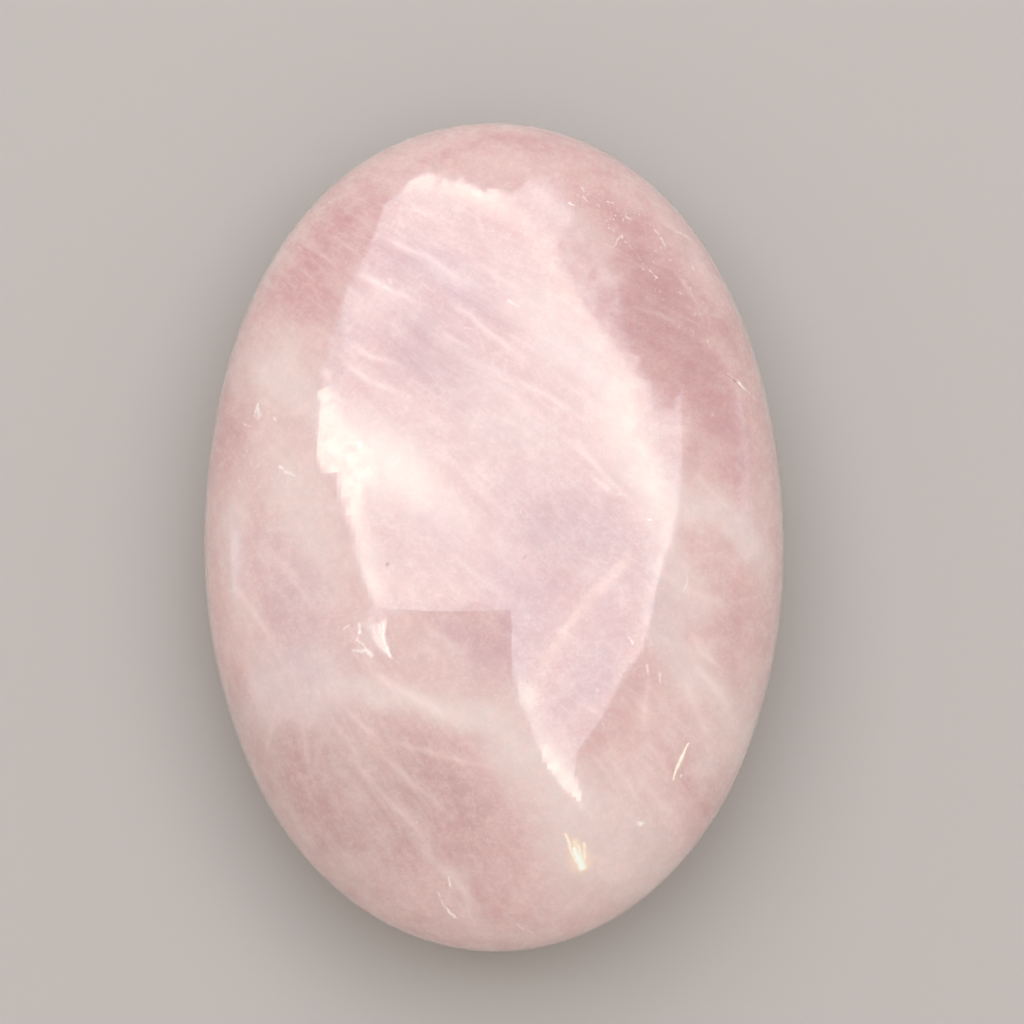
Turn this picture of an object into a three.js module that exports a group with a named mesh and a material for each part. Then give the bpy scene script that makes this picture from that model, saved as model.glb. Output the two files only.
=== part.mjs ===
// Rose quartz palm stone: one polished oval pebble that fills the palm of a hand.
// Millimetres. +Z is up, the long axis is Y, and the origin is the middle of the small flat
// spot that the stone rests on.
import * as THREE from "three";
import { mergeVertices } from "three/addons/utils/BufferGeometryUtils.js";

// Driving dimensions of the stone
const LENGTH = 70;
const WIDTH = 48.8;
const THICKNESS = 22;

// The widest line of the stone, its rim, lies this high above the flat spot
const RIM_HEIGHT = 10.8;

// The flat spot starts where the belly's section has turned this far down from the rim
const FOOT_TURN = THREE.MathUtils.degToRad(76);

// A hand-ground oval is a little squarer than an ellipse. The share it gains halfway between
// its long and short axes is the fullness, and the far end is blunter than the near one.
const OUTLINE_FULLNESS = 0.0142;
const FAR_END_BLUNTNESS = 0.39;
const NEAR_END_TAPER = 0.0108;
const SECTION_FULLNESS = 0.035;

// Fineness of the faces
const SEGMENTS_AROUND = 96;
const RINGS_IN_CROWN = 17;
const RINGS_IN_BELLY = 15;

// The stone's finish
const PALE_ROSE = 0xdcb8b3;
const POLISHED_ROUGHNESS = 0.08;

// How much a round form swells between its axes, for a turn in radians
function swelling(turn, fullness) {
  return 1 + fullness * Math.sin(2 * turn) ** 2;
}

// One point of the upright section. x is the share of the way out to the rim, from 0 to 1,
// and y is the height above the rim. The turn is 0 at the rim and a right angle on the axis.
function sectionPoint(turn, height) {
  const swell = swelling(turn, SECTION_FULLNESS);
  return new THREE.Vector2(Math.cos(turn) * swell, height * Math.sin(turn) * swell);
}

// The section from the middle of the flat spot, out over the rim and up to the crown.
// The belly would be this deep if the flat spot didn't cut it short.
function sectionProfile() {
  const crownHeight = THICKNESS - RIM_HEIGHT;
  const bellyDepth = RIM_HEIGHT / sectionPoint(FOOT_TURN, 1).y;
  const rim = new THREE.Vector2(0, RIM_HEIGHT);
  const profile = [new THREE.Vector2(0, 0)];
  for (let ring = 0; ring <= RINGS_IN_BELLY; ring += 1) {
    const turn = FOOT_TURN * (1 - ring / RINGS_IN_BELLY);
    profile.push(sectionPoint(turn, -bellyDepth).add(rim));
  }
  for (let ring = 1; ring < RINGS_IN_CROWN; ring += 1) {
    const turn = (Math.PI / 2) * (ring / RINGS_IN_CROWN);
    profile.push(sectionPoint(turn, crownHeight).add(rim));
  }
  profile.push(new THREE.Vector2(0, THICKNESS));
  return profile;
}

// The oval seen from above, for a turn that is 0 on +X and a right angle at the far end, +Y
function outlinePoint(turn) {
  const fullness = OUTLINE_FULLNESS * (1 + FAR_END_BLUNTNESS * Math.sin(turn));
  const swell = swelling(turn, fullness);
  const taper = 1 - NEAR_END_TAPER * Math.sin(turn);
  return new THREE.Vector2(
    (WIDTH / 2) * Math.cos(turn) * swell * taper,
    (LENGTH / 2) * Math.sin(turn) * swell,
  );
}

// Every ring of the round blank is stretched to the oval, and its height is kept
function stretchToOutline(blank) {
  const position = blank.getAttribute("position");
  for (let index = 0; index < position.count; index += 1) {
    const x = position.getX(index);
    const y = position.getY(index);
    const reach = Math.hypot(x, y);
    const outline = outlinePoint(Math.atan2(y, x));
    position.setXY(index, reach * outline.x, reach * outline.y);
  }
}

// The section is revolved to a round blank, stood up along Z, and stretched
function makeStoneGeometry() {
  const blank = new THREE.LatheGeometry(sectionProfile(), SEGMENTS_AROUND);
  blank.rotateX(Math.PI / 2);
  stretchToOutline(blank);
  blank.deleteAttribute("normal");
  blank.deleteAttribute("uv");
  const stone = mergeVertices(blank);
  stone.computeVertexNormals();
  return stone;
}

function makeStone() {
  const roseQuartz = new THREE.MeshStandardMaterial({
    color: PALE_ROSE,
    roughness: POLISHED_ROUGHNESS,
    metalness: 0,
  });
  const stone = new THREE.Mesh(makeStoneGeometry(), roseQuartz);
  stone.name = "palm_stone";
  return stone;
}

const palmStone = new THREE.Group();
palmStone.add(makeStone());

export default palmStone;
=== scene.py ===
# %% [markdown]
# A rose quartz palm stone
#
# This lesson dresses one polished pebble of rose quartz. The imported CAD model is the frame: it
# says how long, wide and thick the stone is and where it rests. Blender adds what a hand and an
# eye would find on it: the slight waves of hand grinding, a few pits and a crack, the milky
# veils and needle streaks inside the quartz, and the wet-looking polish.

# %% Load the frame
import math

import bmesh
import bpy
import numpy as np
from mathutils import Euler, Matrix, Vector, noise
from mathutils.interpolate import poly_3d_calc


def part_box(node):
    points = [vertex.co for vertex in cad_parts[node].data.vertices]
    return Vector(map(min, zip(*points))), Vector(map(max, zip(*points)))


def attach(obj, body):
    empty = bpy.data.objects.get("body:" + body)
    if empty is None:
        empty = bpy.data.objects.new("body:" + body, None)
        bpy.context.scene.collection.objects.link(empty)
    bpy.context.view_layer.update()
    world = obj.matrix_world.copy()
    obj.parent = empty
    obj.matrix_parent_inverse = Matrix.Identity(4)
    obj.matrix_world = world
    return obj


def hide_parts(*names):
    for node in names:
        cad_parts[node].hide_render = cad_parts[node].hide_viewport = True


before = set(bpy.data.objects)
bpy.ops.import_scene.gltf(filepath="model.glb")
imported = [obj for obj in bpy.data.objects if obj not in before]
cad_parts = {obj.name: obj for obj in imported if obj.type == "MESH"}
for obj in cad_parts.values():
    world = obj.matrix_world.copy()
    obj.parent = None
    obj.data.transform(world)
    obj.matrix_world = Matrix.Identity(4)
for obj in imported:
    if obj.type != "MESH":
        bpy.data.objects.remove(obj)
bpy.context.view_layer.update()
# One millimetre in Blender's metres
MM = 0.001
stone_low, stone_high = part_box("palm_stone")
stone_size = stone_high - stone_low
print("CAD stone, mm:", [round(side / MM, 2) for side in stone_size])

# %% [markdown]
# The blank
#
# A pebble has no corners and no poles, so a UV sphere is a poor start: its faces crowd together
# at two points, and a polished surface shows that as a pinch in the reflections. A cube that is
# subdivided and then pulled to a sphere has even faces everywhere. Each point remembers its
# direction from the middle of that ball, because the mesh is made finer in some places later,
# and the new points have to be ground to the same shape.

# %% Make the round blank
# Cuts across each side of the cube
BLANK_CUTS = 84


def start_fresh():
    """Nothing stays selected from the piece before."""
    if bpy.context.object and bpy.context.object.mode != "OBJECT":
        bpy.ops.object.mode_set(mode="OBJECT")
    bpy.ops.object.select_all(action="DESELECT")


def read_points(mesh):
    points = np.empty(len(mesh.vertices) * 3)
    mesh.vertices.foreach_get("co", points)
    return points.reshape(-1, 3)


def write_points(mesh, points):
    mesh.vertices.foreach_set("co", points.ravel())
    mesh.update()


start_fresh()
bpy.ops.mesh.primitive_cube_add(size=stone_size.z, location=(0, 0, 0))
stone = bpy.context.object
stone.name = "polished_stone"
bpy.ops.object.mode_set(mode="EDIT")
bpy.ops.mesh.select_all(action="SELECT")
bpy.ops.mesh.subdivide(number_cuts=BLANK_CUTS)
bpy.ops.transform.tosphere(value=1)
bpy.ops.object.mode_set(mode="OBJECT")
ball = read_points(stone.data)
ball /= np.linalg.norm(ball, axis=1, keepdims=True)
directions = stone.data.attributes.new("direction", "FLOAT_VECTOR", "POINT")
directions.data.foreach_set("vector", ball.ravel())
print("blank:", len(stone.data.polygons), "faces")

# %% [markdown]
# Grinding the blank to its oval
#
# Scaling the sphere would give an exact ellipsoid. A stone that was ground by hand is a little
# fuller than that between its axes, both seen from above and in section, and its far end is
# blunter than its near end. So each point of the sphere is moved by two short formulas: one is
# the upright section, from the belly over the rim to the crown, and the other is the oval
# outline. The part of the belly that would go below the table is the flat spot, and a short
# curve leads into it.

# %% Grind the blank
# The widest line of the stone lies this high above the flat spot
RIM_HEIGHT = 10.8 * MM
# The flat spot starts where the belly has turned this far down from the rim
FOOT_TURN = math.radians(76)
# What the outline and the section gain on an ellipse between their axes, as shares
OUTLINE_FULLNESS = 0.0142
SECTION_FULLNESS = 0.035
# How the far end is blunter and the near end narrower, as shares
FAR_END_BLUNTNESS = 0.39
NEAR_END_TAPER = 0.0108
# Height over which the belly curves into the flat spot
FOOT_EDGE = 0.12 * MM


def swelling(turn, fullness):
    """How much a round form swells between its axes."""
    return 1 + fullness * np.sin(2 * turn) ** 2


def section(rise):
    """Share of the way out to the rim, and height, for an angle above or below the rim."""
    swell = swelling(rise, SECTION_FULLNESS)
    crown = stone_size.z - RIM_HEIGHT
    belly = RIM_HEIGHT / (math.sin(FOOT_TURN) * swelling(FOOT_TURN, SECTION_FULLNESS))
    reach = np.where(rise > 0, crown, belly)
    return np.cos(rise) * swell, RIM_HEIGHT + reach * np.sin(rise) * swell


def outline(turn):
    """The oval seen from above, for a turn that is 0 on +X and a right angle on +Y."""
    fullness = OUTLINE_FULLNESS * (1 + FAR_END_BLUNTNESS * np.sin(turn))
    swell = swelling(turn, fullness)
    taper = 1 - NEAR_END_TAPER * np.sin(turn)
    across = stone_size.x / 2 * np.cos(turn) * swell * taper
    along = stone_size.y / 2 * np.sin(turn) * swell
    return across, along


def flatten_foot(height):
    """Heights under zero become the flat spot, with a short curve at its edge."""
    curve = (height + FOOT_EDGE) ** 2 / (4 * FOOT_EDGE)
    above = np.where(height > FOOT_EDGE, height, curve)
    return np.where(height < -FOOT_EDGE, 0, above)


def grind():
    """Moves every point to where the formulas put its direction."""
    ball = np.empty(len(stone.data.vertices) * 3)
    stone.data.attributes["direction"].data.foreach_get("vector", ball)
    ball = ball.reshape(-1, 3)
    ball /= np.linalg.norm(ball, axis=1, keepdims=True)
    share_out, height = section(np.arcsin(np.clip(ball[:, 2], -1, 1)))
    across, along = outline(np.arctan2(ball[:, 1], ball[:, 0]))
    ground = np.column_stack((share_out * across, share_out * along, flatten_foot(height)))
    write_points(stone.data, ground)
    print("ground to, mm:", np.round(np.ptp(ground, axis=0) / MM, 2))


grind()

# %% [markdown]
# The camera
#
# The camera looks almost straight down, as the photograph does. It comes this early because the
# marks in the quartz and the light above it are placed by where the photograph shows them: a
# ray from the camera through that pixel finds the spot on the stone. The first guess of its
# place and lens is close. It could be nudged from there by eye. Measuring the outline that it
# sees, and correcting place and lens by that a few times, is exact.

# %% Place the camera
# The photograph's side and the outline of the stone in it, in pixels
PHOTO_SIDE = 1024
SEEN_LEFT, SEEN_RIGHT = 204.9, 783.1
SEEN_TOP, SEEN_BOTTOM = 122.7, 951.7
# Metres from the stone, and how close to the camera things can still be seen
CAMERA_DISTANCE = 0.40
CLIP_START = 0.01
CAMERA_ELEVATION = math.radians(86)
CAMERA_ROLL = math.radians(-0.6)
# Width of the camera's sensor in mm
SENSOR = 36.0
FITTING_ROUNDS = 4

seen_length = SEEN_BOTTOM - SEEN_TOP
seen_middle = ((SEEN_LEFT + SEEN_RIGHT) / 2, (SEEN_TOP + SEEN_BOTTOM) / 2)
pixel = stone_size.y / seen_length
back = Vector((0, -math.cos(CAMERA_ELEVATION), math.sin(CAMERA_ELEVATION)))
look = (-back).to_track_quat("-Z", "Y") @ Euler((0, 0, CAMERA_ROLL)).to_quaternion()
start_fresh()
bpy.ops.object.camera_add(location=back * CAMERA_DISTANCE, rotation=look.to_euler())
camera = bpy.context.object
camera.data.sensor_width = SENSOR
camera.data.lens = SENSOR * CAMERA_DISTANCE / (pixel * PHOTO_SIDE)
camera.data.clip_start = CLIP_START
bpy.context.scene.camera = camera


def seen_at(points):
    """The pixels at which the camera sees some points."""
    bpy.context.view_layer.update()
    to_camera = np.array(camera.matrix_world.inverted())
    seen = points @ to_camera[:3, :3].T + to_camera[:3, 3]
    zoom = camera.data.lens / SENSOR * PHOTO_SIDE / -seen[:, 2]
    return PHOTO_SIDE / 2 + zoom * seen[:, 0], PHOTO_SIDE / 2 - zoom * seen[:, 1]


def fit_camera():
    """Moves the camera and its zoom until it sees the outline where the photograph has it."""
    for _ in range(FITTING_ROUNDS):
        seen_across, seen_down = seen_at(read_points(stone.data))
        too_far_right = (seen_across.min() + seen_across.max()) / 2 - seen_middle[0]
        too_far_down = (seen_down.min() + seen_down.max()) / 2 - seen_middle[1]
        sideways = Vector((too_far_right * pixel, -too_far_down * pixel, 0))
        camera.location += camera.matrix_world.to_3x3() @ sideways
        camera.data.lens *= seen_length / np.ptp(seen_down)
    seen_across, seen_down = seen_at(read_points(stone.data))
    print("lens, mm:", round(camera.data.lens, 1))
    print("outline across:", round(seen_across.min(), 1), "to", round(seen_across.max(), 1))
    print("outline down:", round(seen_down.min(), 1), "to", round(seen_down.max(), 1))


fit_camera()

# %% Find a spot on the stone by its pixel
def spot_at(pixel_x, pixel_y):
    """The spot on the stone that the camera sees at a pixel, its smooth normal and the ray."""
    across = (pixel_x / PHOTO_SIDE - 0.5) * SENSOR
    up = (0.5 - pixel_y / PHOTO_SIDE) * SENSOR
    ray = camera.matrix_world.to_3x3() @ Vector((across, up, -camera.data.lens))
    ray.normalize()
    found, place, _, face = stone.ray_cast(camera.location, ray)
    if not found:
        raise ValueError(f"pixel {pixel_x}, {pixel_y} isn't on the stone")
    corners = [stone.data.vertices[index] for index in stone.data.polygons[face].vertices]
    shares = poly_3d_calc([corner.co for corner in corners], place)
    normal = sum((c.normal * s for c, s in zip(corners, shares)), Vector())
    return place, normal.normalized(), ray


print("middle of the stone, mm:", [round(v / MM, 2) for v in spot_at(*seen_middle)[0]])

# %% [markdown]
# A finer mesh for small marks
#
# The mesh has a point about every half millimetre. That is fine enough for the stone's form and
# for its clouds, but a healed crack, a fleck or a pit is smaller than that, and so is the core
# of a veil. Making the whole mesh finer would take a million faces. So its faces are cut up only
# round each small mark, and less finely along the veils. Then all points are ground again, which
# puts the new ones on the curved surface and not on the flat faces that they came from.

# %% Where the small marks are
# Each mark's bends in the photograph, half width in mm and strength
WHITE_CRACKS = {
    "left triangle": ([(258, 404), (254, 416)], 0.20, 0.8),
    "left triangle's side": ([(258, 404), (261, 416)], 0.18, 0.7),
    "left triangle's middle": ([(258, 417), (258, 405)], 0.28, 0.7),
    "left triangle's foot": ([(254, 416), (261, 416)], 0.16, 0.5),
    "left dot": ([(268, 410), (268, 414)], 0.18, 0.5),
    "left dot's mate": ([(274, 419), (276, 421)], 0.20, 0.7),
    "far left dash": ([(243, 423), (247, 425), (251, 427)], 0.16, 0.6),
    "left cluster": ([(280, 467), (284, 470)], 0.26, 0.9),
    "left cluster, middle": ([(286, 471), (289, 473)], 0.22, 0.8),
    "left cluster's end": ([(290, 473), (295, 476)], 0.18, 0.6),
    "left fleck": ([(251, 464), (253, 468)], 0.14, 0.4),
    "left fleck above": ([(242, 455), (246, 457)], 0.14, 0.4),
    "left fleck below": ([(239, 481), (242, 483)], 0.15, 0.3),
    "left edge fleck": ([(216, 446), (218, 450)], 0.18, 0.4),
    "upper left dash": ([(362, 212), (369, 215)], 0.10, 0.6),
    "fissure": ([(359, 624), (360, 632), (357, 640), (363, 644)], 0.24, 0.8),
    "fissure's end": ([(371, 656), (367, 650), (363, 644)], 0.32, 0.9),
    "fissure's arm": ([(349, 625), (343, 630), (337, 632), (331, 632)], 0.15, 0.6),
    "fissure's floor": ([(363, 652), (357, 651), (350, 650)], 0.24, 0.7),
    "fan's first line": ([(374, 628), (376, 640), (381, 651)], 0.14, 0.35),
    "fan's second line": ([(379, 625), (380, 638), (385, 652)], 0.14, 0.35),
    "fan's edge": ([(390, 656), (385, 645), (383, 634), (384, 624)], 0.18, 0.6),
    "near left fleck": ([(392, 680), (394, 681)], 0.12, 0.6),
    "line in the light": ([(488, 230), (492, 231)], 0.10, 0.8),
    "line's end in the light": ([(493, 231), (498, 232)], 0.10, 0.9),
    "fleck in the light": ([(509, 300), (513, 303), (519, 306)], 0.26, 0.55),
    "lower line in the light": ([(464, 328), (469, 329), (474, 331)], 0.12, 0.6),
    "soft fleck in the light": ([(389, 280), (391, 284)], 0.26, 0.35),
    "right dot in the light": ([(620, 494), (622, 494)], 0.14, 0.9),
    "lower dot in the light": ([(649, 520), (651, 520)], 0.13, 0.8),
    "curl in the light": ([(520, 511), (523, 508), (527, 507)], 0.13, 0.6),
    "far cluster": ([(570, 203), (575, 206)], 0.20, 0.75),
    "far cluster, above": ([(582, 188), (585, 192)], 0.18, 0.60),
    "far cluster, middle": ([(583, 197), (588, 202)], 0.16, 0.60),
    "above the far ring": ([(626, 217), (631, 220)], 0.17, 0.60),
    "right of the far ring": ([(661, 239), (666, 247)], 0.20, 0.50),
    "right of it, above": ([(655, 230), (659, 235)], 0.17, 0.50),
    "far fleck": ([(608, 202), (611, 203)], 0.14, 0.8),
    "far fleck's mate": ([(597, 205), (599, 207)], 0.12, 0.6),
    "far fleck above": ([(591, 185), (593, 186)], 0.12, 0.7),
    "far dot": ([(622, 236), (622, 238)], 0.22, 0.8),
    "far ring": ([(621, 236), (617, 240), (616, 245), (611, 248)], 0.13, 0.4),
    "far ring's end": ([(611, 248), (606, 244), (603, 240)], 0.11, 0.3),
    "far line": ([(625, 240), (636, 253), (646, 266)], 0.12, 0.2),
    "far dash": ([(657, 278), (651, 272), (646, 266)], 0.12, 0.9),
    "far right line": ([(690, 239), (676, 231), (661, 222)], 0.11, 0.5),
    "far right fleck": ([(692, 266), (694, 270)], 0.12, 0.6),
    "far right line below": ([(675, 272), (683, 284), (690, 298)], 0.10, 0.2),
    "right dot": ([(708, 340), (708, 342)], 0.14, 0.85),
    "right dot below": ([(712, 416), (715, 415)], 0.14, 0.6),
    "right edge dot": ([(753, 369), (753, 371)], 0.13, 0.6),
    "crack's start": ([(727, 374), (732, 377), (737, 381)], 0.11, 0.55),
    "crack's swelling": ([(738, 382), (741, 386), (744, 389)], 0.22, 0.95),
    "crack's end": ([(744, 389), (750, 394), (757, 401)], 0.13, 0.8),
    "right thin line": ([(687, 578), (687, 583), (684, 591), (681, 593)], 0.12, 0.7),
    "right line": ([(600, 560), (680, 592)], 0.13, 0.2),
    "right slip": ([(652, 470), (655, 478)], 0.12, 0.3),
    "wedge fleck": ([(633, 643), (630, 639), (626, 633)], 0.14, 0.8),
    "wedge's edge dot": ([(651, 641), (652, 646)], 0.12, 0.5),
    "wedge's edge line": ([(647, 665), (648, 671), (648, 676)], 0.15, 0.8),
    "pale fleck": ([(660, 672), (660, 683)], 0.24, 0.6),
    "soft fleck in the wedge": ([(597, 690), (597, 697)], 0.26, 0.3),
    "near right fleck": ([(640, 823), (645, 824)], 0.44, 0.9),
    "near right dot": ([(681, 775), (681, 777)], 0.20, 0.7),
    "near right dot below": ([(688, 785), (688, 787)], 0.22, 0.8),
    "near crescent": ([(455, 917), (449, 912), (442, 902), (437, 891)], 0.21, 0.9),
    "near crescent's end": ([(455, 917), (463, 921)], 0.14, 0.35),
    "near blob": ([(450, 888), (449, 877)], 0.20, 0.75),
    "near hook": ([(534, 934), (520, 927), (508, 916)], 0.17, 0.4),
    "near dot": ([(416, 823), (416, 825)], 0.12, 0.5),
}
# Painted glints: fracture faces inside the cracks that catch the light, painted as cream
PAINTED_GLINT_MARKS = {
    "near flash": ([(582, 867), (578, 858), (574, 848)], 0.80, 1.0),
    "near flash's left edge": ([(580, 867), (571, 851), (566, 834)], 0.55, 0.75),
    "near flash's right edge": ([(583, 868), (585, 857), (584, 843)], 0.55, 0.75),
    "near flash's middle": ([(582, 866), (581, 856), (579, 845)], 0.70, 0.75),
    "near flash's glow": ([(580, 862), (577, 850), (575, 842)], 1.60, 0.62),
    "right flash": ([(680, 761), (684, 753), (688, 744)], 0.34, 1.0),
    "right flash's tail": ([(680, 761), (676, 770), (673, 780)], 0.32, 0.9),
}
# Painted shade: dark specks at pits and at the crack's mouth, where the reflection breaks
PAINTED_SHADE_SPECKS = {
    "pit by the near corner": ([(387, 565), (389, 565)], 0.17, 0.75),
    "pit in the middle": ([(524, 558), (527, 556)], 0.15, 0.45),
    "pit by the corner's edge": ([(377, 547), (378, 548)], 0.11, 0.3),
    "pit in the hot corner": ([(352, 487), (353, 488)], 0.11, 0.3),
    "crack's mouth": ([(733, 380), (738, 382)], 0.10, 0.5),
    "pit in the right band": ([(605, 397), (606, 398)], 0.12, 0.3),
    "pit in the cream": ([(527, 681), (528, 683)], 0.12, 0.4),
    "pit in the cream, near": ([(533, 687), (534, 688)], 0.11, 0.35),
    "pit in the cream, far": ([(536, 666), (537, 667)], 0.11, 0.3),
}
VEILS = {
    "far edge": ([(387, 208), (417, 210), (448, 221), (475, 229)], 0.60, 0.45),
    "first": ([(372, 231), (402, 247), (425, 255), (448, 271), (472, 285), (520, 308)], 0.70, 0.80),
    "first, left": ([(356, 272), (387, 287), (406, 298), (438, 316)], 0.60, 0.65),
    "second": ([(440, 299), (470, 314), (486, 330), (507, 346), (540, 372)], 0.65, 0.85),
    "second, lower": ([(440, 330), (459, 343), (483, 356)], 0.50, 0.75),
    "upper middle": ([(470, 258), (491, 271), (512, 285), (533, 298)], 0.55, 0.60),
    "upper right": ([(500, 330), (528, 346), (556, 366)], 0.50, 0.50),
    "left": ([(340, 337), (369, 356), (387, 361), (420, 374)], 0.60, 0.75),
    "left, lower": ([(338, 357), (369, 380), (387, 388), (424, 403)], 0.60, 0.80),
    "middle": ([(512, 375), (527, 386), (546, 394), (575, 412), (602, 434)], 0.55, 0.80),
    "right": ([(567, 439), (588, 457), (610, 481), (631, 500), (656, 526)], 0.60, 0.80),
    "right, lower": ([(588, 473), (604, 486), (622, 502)], 0.50, 0.55),
    "over the notch": ([(443, 547), (461, 563), (480, 578), (512, 604)], 0.55, 0.65),
    "in the notch": ([(420, 622), (446, 640), (470, 664)], 0.70, 0.40),
    "wedge": ([(572, 699), (590, 708), (606, 718)], 0.50, 0.60),
    "band's lower edge": ([(366, 668), (401, 690), (428, 706), (474, 724)], 1.10, 0.80),
    "near left, first": ([(383, 738), (415, 748), (454, 759), (492, 767), (521, 775)], 0.85, 0.52),
    "near left, second": ([(377, 748), (409, 780), (438, 804), (465, 831)], 0.85, 0.38),
    "near left, third": ([(343, 748), (364, 772), (391, 804), (415, 825), (438, 860)], 1.10, 0.42),
    "near left, fourth": ([(354, 754), (377, 796), (400, 826)], 0.75, 0.35),
    "near left, fifth": ([(343, 706), (364, 727), (391, 748)], 0.75, 0.45),
    "near left, sixth": ([(327, 727), (318, 756), (309, 786)], 0.90, 0.25),
    "near end": ([(438, 862), (462, 890), (494, 922)], 1.05, 0.35),
    "lower right, first": ([(688, 656), (712, 684), (728, 706), (736, 740)], 1.20, 0.60),
    "lower right, second": ([(680, 668), (694, 704), (706, 732), (722, 762)], 1.10, 0.55),
    "lower right, third": ([(650, 672), (645, 707), (641, 750)], 1.00, 0.50),
    "lower right, fourth": ([(642, 732), (662, 764), (684, 796)], 1.00, 0.40),
    "lower right, edge": ([(690, 628), (700, 652), (722, 668), (745, 680)], 0.80, 0.55),
    "near right, first": ([(600, 742), (626, 780), (652, 822)], 0.90, 0.40),
    "left side, first": ([(256, 536), (284, 565), (312, 594)], 1.10, 0.50),
    "left side, second": ([(234, 584), (258, 618), (284, 652)], 1.10, 0.50),
    "left side, third": ([(270, 552), (296, 584), (318, 618)], 0.90, 0.40),
    "left side, upper": ([(262, 436), (284, 462), (308, 490)], 1.00, 0.35),
    "low cloud, first": ([(330, 716), (352, 746), (372, 790)], 0.90, 0.40),
    "low cloud, second": ([(300, 712), (306, 752), (318, 800)], 0.90, 0.35),
    "low cloud, third": ([(276, 716), (268, 742), (264, 772)], 0.90, 0.30),
    "right rim": ([(640, 560), (690, 590), (742, 618)], 0.80, 0.50),
    "right rim, far": ([(688, 468), (720, 500), (762, 542)], 0.70, 0.50),
    "far right": ([(679, 275), (690, 293), (700, 309)], 0.50, 0.50),
    "far right, outer": ([(663, 222), (679, 232), (704, 252)], 0.60, 0.45),
    "far right, low": ([(629, 306), (658, 314), (679, 322)], 0.50, 0.30),
    "far left": ([(340, 205), (366, 224), (377, 229)], 0.50, 0.45),
    "far left, middle": ([(329, 234), (348, 247), (364, 258)], 0.55, 0.45),
    "far left, lower": ([(305, 237), (326, 258), (342, 273)], 0.60, 0.45),
}
# Each pit's middle in the photograph, radius and depth in mm
PITS = {
    "pit by the near corner": ((388, 565), 0.20, 0.05),
    "pit in the middle": ((526, 557), 0.18, 0.03),
    "pit on the crack": ((735, 380), 0.26, 0.08),
    "hollow on the left": ((361, 631), 0.28, 0.04),
    "hollow by it": ((364, 649), 0.30, 0.04),
    "near chip": ((446, 908), 0.34, 0.05),
}
# The open crack's bends in the photograph, half width and depth in mm
CRACK = [(727, 374), (736, 380), (744, 389), (757, 400)]
CRACK_HALF_WIDTH = 0.16
CRACK_DEPTH = 0.08

# %% Make the mesh finer there
# Cuts across a face, and how far from a mark faces are cut, in mm
MARK_CUTS, VEIL_CUTS = 5, 2
FINE_MARGIN = 0.25
# A veil is cut up along its core, which is this share of its half width, and a little wider
VEIL_CORE = 0.4
VEIL_MARGIN = 0.05
# Side in mm of the smallest face that is still cut
LEAST_CUT_SIDE = 0.2
TINY = 1e-9
POINTS, FACES = (True, False, False), (False, False, True)


def start_editing(piece, select_mode):
    """Opens a piece in edit mode, where points or faces can be selected."""
    start_fresh()
    bpy.context.view_layer.objects.active = piece
    bpy.context.tool_settings.mesh_select_mode = select_mode
    bpy.ops.object.mode_set(mode="EDIT")


def spots_of(bends):
    """The spots on the stone, in mm, under some pixels of the photograph."""
    return [np.array(spot_at(*bend)[0]) / MM for bend in bends]


def along_line(points, bends):
    """How far points are from each stretch of a line, and how far along the line that is."""
    ends = bends[1:] or bends
    for number, (start, end) in enumerate(zip(bends, ends)):
        run = end - start
        share = np.clip((points - start) @ run / max(run @ run, TINY), 0, 1)
        away = np.linalg.norm(points - start - share[:, None] * run, axis=1)
        yield away, (number + share) / len(ends)


def cut_faces_near(lines, cuts):
    """Cuts up the faces that are still large and lie close to some lines."""
    middles = np.array([face.center for face in stone.data.polygons]) / MM
    sides = np.sqrt([face.area for face in stone.data.polygons]) / MM
    near = np.zeros(len(middles), bool)
    for bends, half_width in lines:
        for away, _ in along_line(middles, spots_of(bends)):
            near |= away < half_width + FINE_MARGIN
    near &= sides > LEAST_CUT_SIDE
    start_editing(stone, FACES)
    bpy.ops.mesh.select_all(action="DESELECT")
    bpy.ops.object.mode_set(mode="OBJECT")
    stone.data.polygons.foreach_set("select", near)
    bpy.ops.object.mode_set(mode="EDIT")
    bpy.ops.mesh.subdivide(number_cuts=cuts)
    bpy.ops.object.mode_set(mode="OBJECT")
    print("faces to cut:", int(near.sum()), "faces now:", len(stone.data.polygons))


marks = {**WHITE_CRACKS, **PAINTED_GLINT_MARKS, **PAINTED_SHADE_SPECKS}
mark_lines = [(bends, half_width) for bends, half_width, _ in marks.values()]
mark_lines += [([middle], radius) for middle, radius, _ in PITS.values()]
mark_lines += [(CRACK, CRACK_HALF_WIDTH)]
veil_lines = [(b, half_width * VEIL_CORE + VEIL_MARGIN) for b, half_width, _ in VEILS.values()]
cut_faces_near(mark_lines, MARK_CUTS)
cut_faces_near(veil_lines, VEIL_CUTS)
grind()
stone.data.attributes.remove(stone.data.attributes["direction"])

# %% [markdown]
# The waves of hand grinding
#
# No one can hold a stone so evenly that its face is a perfect curve. The waves are far too low
# to feel, but the edge of every reflection wanders over them. They could be sculpted. A Displace
# modifier with a soft cloud texture makes them more evenly. It only pushes inwards, so the stone
# doesn't outgrow its box, and a vertex group keeps it away from the flat spot.

# %% Add the waves of the grinding
WAVE_DEPTH = 0.10 * MM
WAVE_SIZE = 11 * MM
FOOT_CLEAR = 1.5 * MM

away_from_foot = stone.vertex_groups.new(name="away_from_foot")
for vertex in stone.data.vertices:
    away_from_foot.add([vertex.index], min(1, vertex.co.z / FOOT_CLEAR), "REPLACE")

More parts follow.
